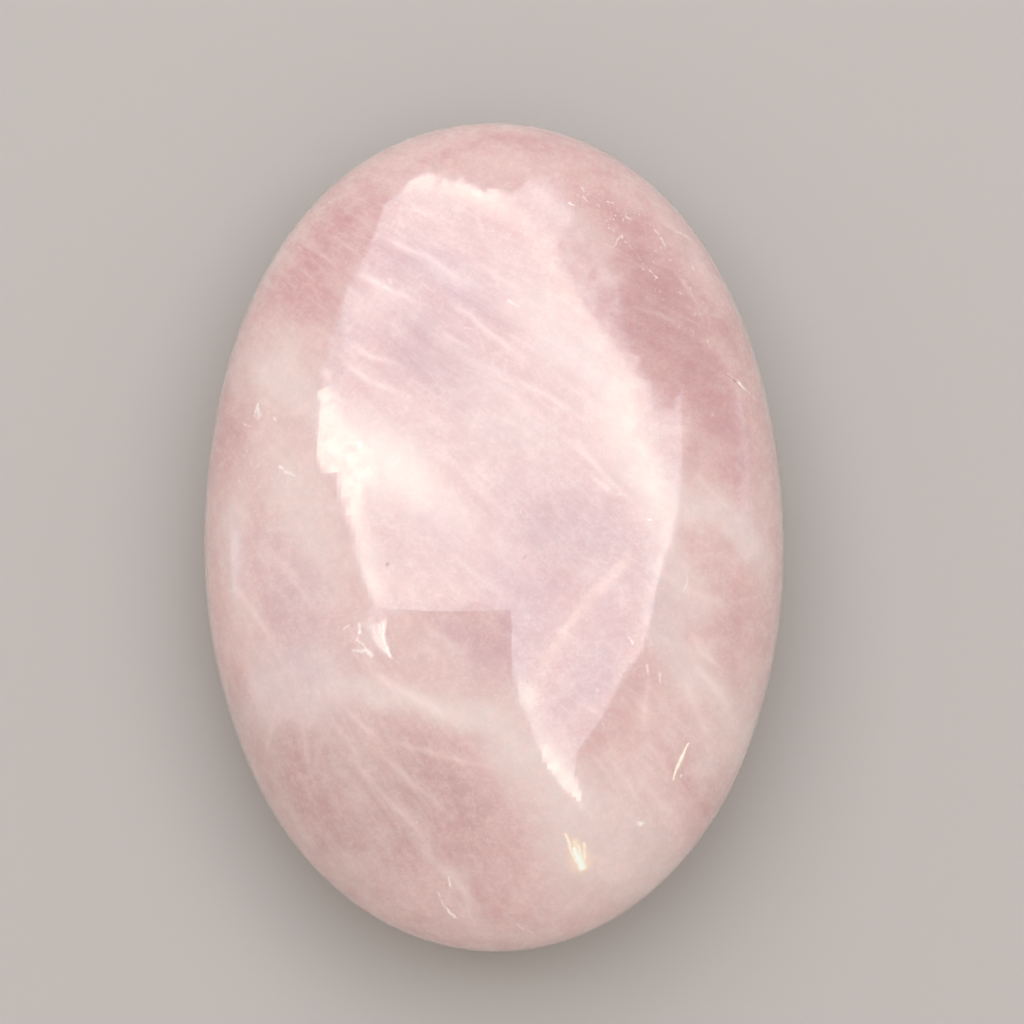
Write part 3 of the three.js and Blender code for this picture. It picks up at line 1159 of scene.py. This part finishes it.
NEEDLE_FIELDS = {
    "far half": ((450, 290), -35, 13.0, 7.0, 1.2, 0.5),
    "middle": ((540, 470), -40, 13.0, 8.0, 1.2, 0.6),
    "near left": ((400, 780), -55, 13.0, 8.0, 1.2, 0.35),
    "near right": ((650, 780), -50, 9.0, 6.0, 1.2, 0.75),
    "upper left": ((310, 270), -38, 6.0, 4.0, 1.2, 0.8),
    "far right": ((680, 290), -45, 7.0, 3.0, 1.2, 0.3),
}
# The quartz's own mauve, and under the window's dim panes a painted reflection: the cool lilac of
# the mirrored light
LILAC_AND_PAINTED_REFLECTION_PATCHES = {
    "far window": ((420, 264), -24, 4.2, 1.8, 1.1, 0.45),
    "far window, right": ((470, 300), -35, 3.4, 1.4, 1.1, 0.40),
    "middle window": ((432, 344), -35, 5.2, 2.6, 1.1, 0.40),
    "left strip": ((338, 345), 78, 3.4, 0.9, 1.2, 0.25),
    "near window": ((566, 534), -40, 6.2, 3.4, 1.1, 0.38),
    "near side": ((524, 608), -60, 3.4, 1.8, 1.1, 0.50),
    "wedge": ((590, 670), 58, 4.4, 1.6, 1.1, 0.35),
    "under the hot corner": ((440, 520), -30, 3.6, 1.7, 1.1, 0.30),
    "low left cloud": ((300, 680), 15, 4.8, 3.4, 1.1, 0.45),
    "notch": ((480, 640), -24, 4.6, 2.0, 1.1, 0.45),
    "right of the light": ((670, 612), -80, 4.6, 1.6, 1.1, 0.30),
    "left": ((296, 594), -70, 5.0, 2.8, 1.1, 0.48),
}
GRAINY_FIELDS = {
    "far corner": ((560, 212), -52, 4.0, 1.9, 1.6, 1.0),
    "half-lit corner": ((596, 276), -60, 4.6, 1.6, 1.4, 0.7),
    "right band": ((630, 350), -68, 4.0, 1.2, 1.4, 0.6),
    "right edge of the light": ((668, 450), -84, 6.0, 1.1, 1.4, 0.6),
    "middle": ((500, 430), -36, 6.0, 3.0, 1.2, 0.4),
    "cream by the notch": ((534, 696), -76, 3.0, 1.3, 1.4, 0.8),
}
SPARKLING_FIELDS = {
    "far right": ((622, 222), -45, 5.6, 2.4, 1.4, 1.0),
    "right": ((672, 290), -60, 7.0, 2.0, 1.2, 0.7),
    "left": ((250, 450), -75, 5.0, 2.4, 1.2, 0.5),
    "near left": ((330, 700), 10, 4.0, 3.0, 1.2, 0.5),
}

# %% Paint the clouds
def covered_by(strokes, spots):
    """How far each spot is covered, from 0 to 1. Strokes that overlap don't double."""
    clear = np.ones(len(spots))
    for middle, *form, strength in strokes.values():
        spot = spot_at(*middle)[0] / MM
        away_x, away_y = spots[:, 0] - spot.x, spots[:, 1] - spot.y
        clear *= 1 - strength * soft_oval(away_x, away_y, *form)
    return 1 - clear


def paint(name, strokes):
    """Keeps on the mesh how far some strokes cover the stone, above and below its rim."""
    above = covered_by(strokes, torn_places)
    below = covered_by(strokes, -torn_places)
    share = on_top * above + (1 - on_top) * below
    keep_on_mesh(stone.data, name, share)
    print(name, "covers on average", round(float(share.mean()), 2))


paint("milk", MILKY_CLOUDS)
paint("depth", DEEP_PATCHES)
paint("painted_shade", PAINTED_SHADE_PATCHES)
paint("needles", NEEDLE_FIELDS)
paint("lilac_and_painted_reflection", LILAC_AND_PAINTED_REFLECTION_PATCHES)
paint("grains", GRAINY_FIELDS)
paint("sparkles", SPARKLING_FIELDS)

# %% [markdown]
# Painting the veils and the small marks
#
# Long soft veils run through the quartz, and come and go without an end that can be seen. The
# sharp white lines are cracks that closed again. The cream flashes are painted glints: faces
# inside the cracks that catch the light, painted into the colour. The dark specks are painted
# shade, where pits and the crack's mouth break the reflection. A picture could be wrapped round
# the stone. Here each mark is drawn in space instead, as a line through a few bends that thins
# out towards its end, because a line stays sharp at any size and stays on the top of the stone.

# %% Paint the veils and the small marks
# How much of its width a line loses towards its end
THINNING, VEIL_THINNING = 0.6, 0.15
# Shares of a veil's length at which it is there in full and at which it starts to fade
FADED_IN_AT, FADES_FROM = 0.22, 0.55
# Strength of the halo round a veil's core
VEIL_HALO = 0.5
# Size and depth in mm of the noise that makes a line wobble
WOBBLE_SIZE, WOBBLE = 0.5, 0.10
VEIL_WOBBLE_SIZE, VEIL_WOBBLE = FINE_TEAR, 0.08
# Size in mm of the noise that breaks a line up, and between which values it does so
BREAK_SIZE = 0.45
BROKEN_BELOW, WHOLE_ABOVE = -0.50, -0.10

wobbly_places = places + wandering(WOBBLE_SIZE, WOBBLE)


def broken():
    """Fine noise from 0 to 1 that breaks thin lines up."""
    grit = np.array([noise.noise(Vector(place) / BREAK_SIZE) for place in places])
    return smooth_passage(grit, BROKEN_BELOW, WHOLE_ABOVE)


def plain_line(share_of_width):
    """Full along its middle, and gone at its sides."""
    return smooth_passage(share_of_width, 1, 0)


def haloed_line(share_of_width):
    """A thin core in a wide and faint halo."""
    core = smooth_passage(share_of_width, VEIL_CORE, 0)
    return VEIL_HALO * plain_line(share_of_width) + (1 - VEIL_HALO) * core


def crack_like(away, half_width, progress):
    """A mark that narrows towards its end."""
    return plain_line(away / (half_width * (1 - THINNING * progress)))


def veil_like(away, half_width, progress):
    """A veil comes in from nothing, hardly narrows, and fades again."""
    coming = smooth_passage(progress, 0, FADED_IN_AT)
    going = smooth_passage(progress, 1, FADES_FROM)
    return coming * going * haloed_line(away / (half_width * (1 - VEIL_THINNING * progress)))


def paint_lines(name, lines, from_places, form=crack_like, kept=1.0):
    """Keeps on the mesh how strongly some lines mark the stone."""
    share = np.zeros(len(places))
    for bends, half_width, strength in lines.values():
        for away, progress in along_line(from_places, spots_of(bends)):
            share = np.maximum(share, strength * form(away, half_width, progress))
    keep_on_mesh(stone.data, name, np.clip(share * kept, 0, 1))
    print(name, "marks", int((share > 0).sum()), "points")


veil_places = places + wandering(VEIL_WOBBLE_SIZE, VEIL_WOBBLE)
paint_lines("veils", VEILS, veil_places, veil_like)
paint_lines("white_cracks", WHITE_CRACKS, wobbly_places, kept=broken())
paint_lines("painted_glint_marks", PAINTED_GLINT_MARKS, wobbly_places)
paint_lines("painted_shade_specks", PAINTED_SHADE_SPECKS, wobbly_places)

# %% [markdown]
# Node groups
#
# What covers the whole stone and is finer than the mesh is made in the material: the needles,
# the grains and the specks. It could all be wired in one tree, and soon no one could read it.
# The needles and the specks are used more than once with other sizes, so each of them is a
# small node group with named inputs.

# %% Node group helpers
VALUE = "NodeSocketFloat"
VECTOR = "NodeSocketVector"


def new_group(title, inputs, outputs):
    """A node group with named sockets. Inputs are name, kind and value."""
    group = bpy.data.node_groups.new(title, "ShaderNodeTree")
    for name, kind, value in inputs:
        socket = group.interface.new_socket(name=name, in_out="INPUT", socket_type=kind)
        if value is not None:
            socket.default_value = value
    for name, kind in outputs:
        group.interface.new_socket(name=name, in_out="OUTPUT", socket_type=kind)
    entry = group.nodes.new("NodeGroupInput").outputs
    way_out = group.nodes.new("NodeGroupOutput").inputs
    return group, entry, way_out


def place_group(tree, group, **values):
    """Sets a group down in a tree. A value's name is its socket's, in lower case."""
    node = tree.nodes.new("ShaderNodeGroup")
    node.node_tree = group
    for name, value in values.items():
        feed(tree, value, node.inputs[name.title()])
    return node

# %% [markdown]
# Needles
#
# Fine needles grew through this quartz in one fan: they run from the upper left to the lower
# right, flat at the far end and steep at the near one. They could be thousands of thin curves.
# Noise that is stretched along a fan of rays looks the same and costs much less to render. The
# fan's middle lies outside the stone, and the angle round it and the distance from it take the
# place of X and Y. Where the noise is high there is a soft feather. Where it passes through its
# middle value there is a thin fibre, because such a level line of stretched noise is long and
# fine.

# %% Node group: needles
# Middle of the fan and its distance to the middle of the stone, in mm
FAN_MIDDLE = (-59.0, 59.0, 0.0)
FAN_REACH = 83.0
# How far from its middle value the noise still makes a fibre
FIBRE_THINNESS = 0.035


def make_needle_group():
    group, entry, way_out = new_group(
        "needles",
        [
            ("Place", VECTOR, None),
            ("Spacing", VALUE, 1.0),
            ("Length", VALUE, 8.0),
            ("Thickness", VALUE, 2.5),
            ("Layer", VALUE, 0.0),
            ("Start", VALUE, 0.5),
            ("Full", VALUE, 0.7),
        ],
        [("Feathers", VALUE), ("Fibres", VALUE)],
    )
    x, y, z = split(group, calculate_vector(group, "SUBTRACT", entry["Place"], FAN_MIDDLE))
    distance = calculate_vector(group, "LENGTH", join(group, x, y, 0.0))
    arc = multiply(group, calculate(group, "ARCTAN2", y, x), FAN_REACH)
    depth = calculate(group, "DIVIDE", z, entry["Thickness"])
    stretched = join(
        group,
        calculate(group, "DIVIDE", distance, entry["Length"]),
        calculate(group, "DIVIDE", arc, entry["Spacing"]),
        calculate(group, "ADD", depth, entry["Layer"]),
    )
    grown = lumps(group, stretched, 1.0).outputs["Fac"]
    feathers = smooth_step(group, grown, entry["Start"], entry["Full"])
    feed(group, feathers, way_out["Feathers"])
    feed(group, level_lines(group, grown, FIBRE_THINNESS), way_out["Fibres"])
    return group


NEEDLES = make_needle_group()

# %% [markdown]
# Specks
#
# Tiny inclusions lie all through the quartz, a few to the square centimetre. Small balls could
# be scattered in it, but no one would see that they are round. A Voronoi texture has one point
# in each cell of space, and a speck is drawn round it. Each cell also has a random colour,
# which says whether its speck is there at all.

# %% Node group: specks
def make_speck_group():
    group, entry, way_out = new_group(
        "specks",
        [
            ("Place", VECTOR, None),
            ("Scale", VALUE, 0.5),
            ("Radius", VALUE, 0.1),
            ("Rarity", VALUE, 0.6),
        ],
        [("Mask", VALUE)],
    )
    cells = group.nodes.new("ShaderNodeTexVoronoi")
    feed(group, entry["Place"], cells.inputs["Vector"])
    feed(group, entry["Scale"], cells.inputs["Scale"])
    radius = multiply(group, entry["Radius"], entry["Scale"])
    speck = smooth_step(group, cells.outputs["Distance"], radius, 0.0)
    luck, _, _ = split(group, cells.outputs["Color"])
    there = calculate(group, "GREATER_THAN", luck, entry["Rarity"])
    feed(group, multiply(group, speck, there), way_out["Mask"])
    return group


SPECKS = make_speck_group()

# %% [markdown]
# The inside of the quartz
#
# Clear pink quartz shows dark, and all that clouds it shows pale: milk, needles, veils, cracks
# and specks. They could be modelled as real pieces inside a glassy body, but then every ray of
# light would take long to find its way out. So the base colour carries them all, and some
# painted light too: a painted shade, painted glints, a painted glow at the rim and a painted
# reflection tint. It starts from the clear pink, and each layer is mixed over the ones before
# by its own mask. The masks come from the attributes on the mesh, from noise and from the two
# groups.

# %% Colours and patterns of the inside
PINK = (0.660, 0.430, 0.410, 1)
DEEP_PINK = (0.550, 0.275, 0.280, 1)
# Painted shade: a darker, greyer pink
PAINTED_SHADE_PINK = (0.480, 0.330, 0.305, 1)
# Own mauve of the quartz, and partly a painted reflection: the cool tint of the mirrored window
LILAC_AND_PAINTED_REFLECTION = (0.580, 0.418, 0.448, 1)
# Painted light: the glow of the thin rim
PAINTED_RIM_GLOW = (0.900, 0.500, 0.430, 1)
MILKY = (0.740, 0.610, 0.570, 1)
VEIL_WHITE = (0.885, 0.735, 0.680, 1)
WHITE = (0.95, 0.88, 0.84, 1)
# Painted glints: the flashes of fracture faces, and their paler middles
GLINT_CREAM = (1.00, 0.80, 0.58, 1)
GLINT_HEART_COLOR = (1.00, 0.96, 0.84, 1)
# Painted shade in pits
PIT_SHADE_COLOR = (0.26, 0.15, 0.13, 1)

# Size in mm, detail and roughness of the noise, the values at which the mask starts and is
# full, and the most that it covers
NOISE_MASKS = {
    "haze": (9.0, 4.0, 0.55, 0.42, 0.80, 0.35),
    "sugar": (1.8, 5.0, 0.95, 0.38, 0.72, 0.44),
    "grains": (0.30, 3.0, 0.70, 0.56, 0.68, 1.0),
    "kept bits": (0.6, 2.0, 0.50, 0.54, 0.62, 1.0),
    "smudges": (5.0, 3.0, 0.50, 0.40, 0.80, 0.02),
}

# Sizes in mm of the needles, the noise values at which they start and are full, and a number
# that gives each layer its own noise
BROAD_NEEDLES = dict(spacing=2.6, length=16.0, thickness=6.0, start=0.42, full=0.80)
SLIM_NEEDLES = dict(spacing=1.15, length=8.0, thickness=3.0, start=0.48, full=0.78, layer=7.0)
FINE_NEEDLES = dict(spacing=0.45, length=3.2, thickness=1.2, start=0.50, full=0.72, layer=15.0)
# Cells to the millimetre, radius in mm and the share of the cells that stay empty
FEW_SPECKS = dict(scale=0.42, radius=0.10, rarity=0.6)
MANY_SPARKLES = dict(scale=1.9, radius=0.11, rarity=0.40)
# Size in mm of the curls that the hairs follow, and how thin the hairs are
CURL_SIZE, HAIR_THINNESS = 1.1, 0.014

# How strongly each layer covers the ones before
STRENGTHS = {
    "broad": 0.55,
    "slim": 0.26,
    "fine": 0.18,
    "fibres": 0.10,
    "grains": 0.30,
    "specks": 0.50,
    "sparkles": 0.85,
    "hairs": 0.70,
}
# Outside the needle fields the needles keep the first share, and inside they gain the second
FIELD_LEAST, FIELD_GAIN = 0.30, 0.70
# A veil is made of threads in the same way
THREAD_LEAST, THREAD_GAIN = 0.65, 0.5
# A clear place, and a place of painted shade, takes this share from the sugar and broad needles
CLEAR_LOSS = 0.65
# Strengths of a painted glint between which its middle turns paler
PALER_FROM, PALEST_AT = 0.45, 0.95

# Heights in mm between which a painted glow warms the rim, standing for the light that comes
# through its thin edge, and how much
RIM_TINT_ENDS, RIM_TINT_FULL, RIM_TINT_BELOW = 12.6, 10.2, 5.0
RIM_TINT = 0.30


def noise_mask(tree, place, kind):
    size, detail, roughness, start, full, most = NOISE_MASKS[kind]
    grown = lumps(tree, place, size, detail, roughness).outputs["Fac"]
    return smooth_step(tree, grown, start, full, most)


def cloud_layers(tree, bent):
    """The large soft patches, as masks and colours, with a painted shade and a lilac that is partly
    a painted reflection.
    """
    milk = calculate(tree, "MAXIMUM", painted(tree, "milk"), noise_mask(tree, bent, "haze"))
    return [
        (painted(tree, "depth"), DEEP_PINK),
        (painted(tree, "painted_shade"), PAINTED_SHADE_PINK),
        (milk, MILKY),
        (painted(tree, "lilac_and_painted_reflection"), LILAC_AND_PAINTED_REFLECTION),
    ]


def needle_layers(tree, bent):
    """The needles and the veils among them, and the sugary grain of the milk."""
    # The clear places and the painted shade both thin out the sugar and the broad needles
    clear = calculate(tree, "MAXIMUM", painted(tree, "depth"), painted(tree, "painted_shade"))
    in_clear = calculate(tree, "MULTIPLY_ADD", clear, -CLEAR_LOSS, 1.0)
    fields = calculate(
        tree, "MULTIPLY_ADD", painted(tree, "needles"), FIELD_GAIN, FIELD_LEAST
    )
    broad = place_group(tree, NEEDLES, place=bent, **BROAD_NEEDLES).outputs
    slim = place_group(tree, NEEDLES, place=bent, **SLIM_NEEDLES).outputs
    fine = place_group(tree, NEEDLES, place=bent, **FINE_NEEDLES).outputs
    threads = calculate(tree, "MULTIPLY_ADD", slim["Feathers"], THREAD_GAIN, THREAD_LEAST)
    sugar = noise_mask(tree, bent, "sugar")
    broad_share = multiply(tree, broad["Feathers"], fields, STRENGTHS["broad"], in_clear)
    return [
        (broad_share, VEIL_WHITE),
        (multiply(tree, slim["Feathers"], fields, STRENGTHS["slim"]), VEIL_WHITE),
        (multiply(tree, fine["Feathers"], fields, STRENGTHS["fine"]), VEIL_WHITE),
        (multiply(tree, slim["Fibres"], fields, STRENGTHS["fibres"]), WHITE),
        (multiply(tree, painted(tree, "veils"), threads), VEIL_WHITE),
        (multiply(tree, sugar, in_clear), VEIL_WHITE),
    ]


# Painted light: a warmer, brighter pink in a band round the rim, for light that comes through it
def painted_rim_glow_layer(tree, height):
    above = smooth_step(tree, height, RIM_TINT_ENDS, RIM_TINT_FULL, most=RIM_TINT)
    below = smooth_step(tree, height, RIM_TINT_BELOW, RIM_TINT_FULL)
    return multiply(tree, above, below), PAINTED_RIM_GLOW


def speck_layers(tree, place):
    """Grains, specks, sparkles and curled hairs, which are all smaller than a millimetre."""
    grains = noise_mask(tree, place, "grains")
    specks = place_group(tree, SPECKS, place=place, **FEW_SPECKS).outputs["Mask"]
    sparkles = place_group(tree, SPECKS, place=place, **MANY_SPARKLES).outputs["Mask"]
    sparkling = painted(tree, "sparkles")
    curls = lumps(tree, place, CURL_SIZE, detail=1.0).outputs["Fac"]
    hairs = level_lines(tree, curls, HAIR_THINNESS)
    kept_bits = noise_mask(tree, place, "kept bits")
    return [
        (multiply(tree, grains, painted(tree, "grains"), STRENGTHS["grains"]), DEEP_PINK),
        (multiply(tree, specks, STRENGTHS["specks"]), WHITE),
        (multiply(tree, sparkles, sparkling, STRENGTHS["sparkles"]), WHITE),
        (multiply(tree, hairs, kept_bits, sparkling, STRENGTHS["hairs"]), WHITE),
    ]


def mark_layers(tree):
    """The white cracks, the painted glints and the painted pit shade, each drawn on the mesh one by
    one.
    """
    painted_glints = painted(tree, "painted_glint_marks")
    return [
        (painted(tree, "white_cracks"), WHITE),
        (painted_glints, GLINT_CREAM),
        (smooth_step(tree, painted_glints, PALER_FROM, PALEST_AT), GLINT_HEART_COLOR),
        (painted(tree, "painted_shade_specks"), PIT_SHADE_COLOR),
    ]

# %% [markdown]
# The quartz
#
# Rose quartz is milky: light goes in, wanders about and comes out again pink. Plain colour
# would look like painted plaster, and clear glass like a jelly, so the shader scatters light
# under its surface. Its polish is like a film of water. The shader has a sharp reflection of
# its own for that, and a clear coat on the crown, where hands have kept it bright. A very low
# bump stands for the grain of the polish, which tears the edge of a reflection.

# %% Build the quartz material
# Size and depth in mm of the bends in the needles and clouds
BEND_SIZE, BEND_DEPTH = 12.0, 0.9
# Heights in mm between which the clear coat comes in
COAT_STARTS, COAT_FULL = 9.5, 13.0
# Size and depth in mm of the grain of the polish, and the detail and roughness of its noise
GRAIN_SIZE, GRAIN_DEPTH = 0.7, 0.0003
GRAIN_NOISE = (3.0, 0.6)
SHADER_VALUES = {
    "Subsurface Weight": 1.0,
    "Subsurface Radius": (1.0, 0.6, 0.55),
    "Subsurface Scale": 3.0 * MM,
    "IOR": 1.544,
    "Coat Roughness": 0.01,
}


def polish_grain(tree, place):
    peel = lumps(tree, place, GRAIN_SIZE, *GRAIN_NOISE).outputs["Fac"]
    relief = tree.nodes.new("ShaderNodeBump")
    feed(tree, 1.0, relief.inputs["Strength"])
    feed(tree, GRAIN_DEPTH * MM, relief.inputs["Distance"])
    feed(tree, peel, relief.inputs["Height"])
    return relief.outputs["Normal"]


def make_quartz():
    material = bpy.data.materials.new("rose_quartz")
    material.use_nodes = True
    tree = material.node_tree
    coordinates = tree.nodes.new("ShaderNodeTexCoord").outputs["Object"]
    place = scale_vector(tree, coordinates, 1 / MM)
    bent = pushed_about(tree, place, BEND_SIZE, BEND_DEPTH)
    _, _, height = split(tree, place)
    layers = cloud_layers(tree, bent) + needle_layers(tree, bent) + [painted_rim_glow_layer(tree, height)]
    layers += speck_layers(tree, place) + mark_layers(tree)
    color = PINK
    for share, layer_color in layers:
        color = mix_colors(tree, share, color, layer_color)

    shader = tree.nodes["Principled BSDF"]
    shader.subsurface_method = "RANDOM_WALK"
    for name, value in SHADER_VALUES.items():
        shader.inputs[name].default_value = value
    feed(tree, color, shader.inputs["Base Color"])
    feed(tree, noise_mask(tree, place, "smudges"), shader.inputs["Roughness"])
    coat = smooth_step(tree, height, COAT_STARTS, COAT_FULL)
    feed(tree, coat, shader.inputs["Coat Weight"])
    feed(tree, polish_grain(tree, place), shader.inputs["Normal"])
    return material


stone.data.materials.append(make_quartz())
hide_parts("palm_stone")
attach(stone, "root")
print("shader nodes:", len(stone.data.materials[0].node_tree.nodes))

# %% [markdown]
# The floor and the fill
#
# The stone lies on a sheet of pale warm paper, and the rest of the studio gives an even, soft
# light from all sides. More lamps could do that, but the polish would mirror each of them. A
# plain glowing background leaves only the window to be seen, keeps the rim pink and doesn't let
# the near end go dark.

# %% Lay the floor and fill the studio with light
# Side of the paper in metres
FLOOR_SIDE = 6.0
FLOOR_COLOR = (0.46, 0.43, 0.40, 1)
PAPER_ROUGHNESS = 0.9
FILL_COLOR = (1, 0.945, 0.91, 1)

start_fresh()
bpy.ops.mesh.primitive_plane_add(size=FLOOR_SIDE, location=(0, 0, 0))
floor = bpy.context.object
floor.name = "floor"
paper = bpy.data.materials.new("pale paper")
paper.use_nodes = True
paper_shader = paper.node_tree.nodes["Principled BSDF"]
paper_shader.inputs["Base Color"].default_value = FLOOR_COLOR
paper_shader.inputs["Roughness"].default_value = PAPER_ROUGHNESS
floor.data.materials.append(paper)

world = bpy.data.worlds.new("soft studio")
world.use_nodes = True
background = world.node_tree.nodes["Background"]
background.inputs["Color"].default_value = FILL_COLOR
background.inputs["Strength"].default_value = STUDIO_FILL
bpy.context.scene.world = world
bpy.context.scene.view_settings.view_transform = "Standard"
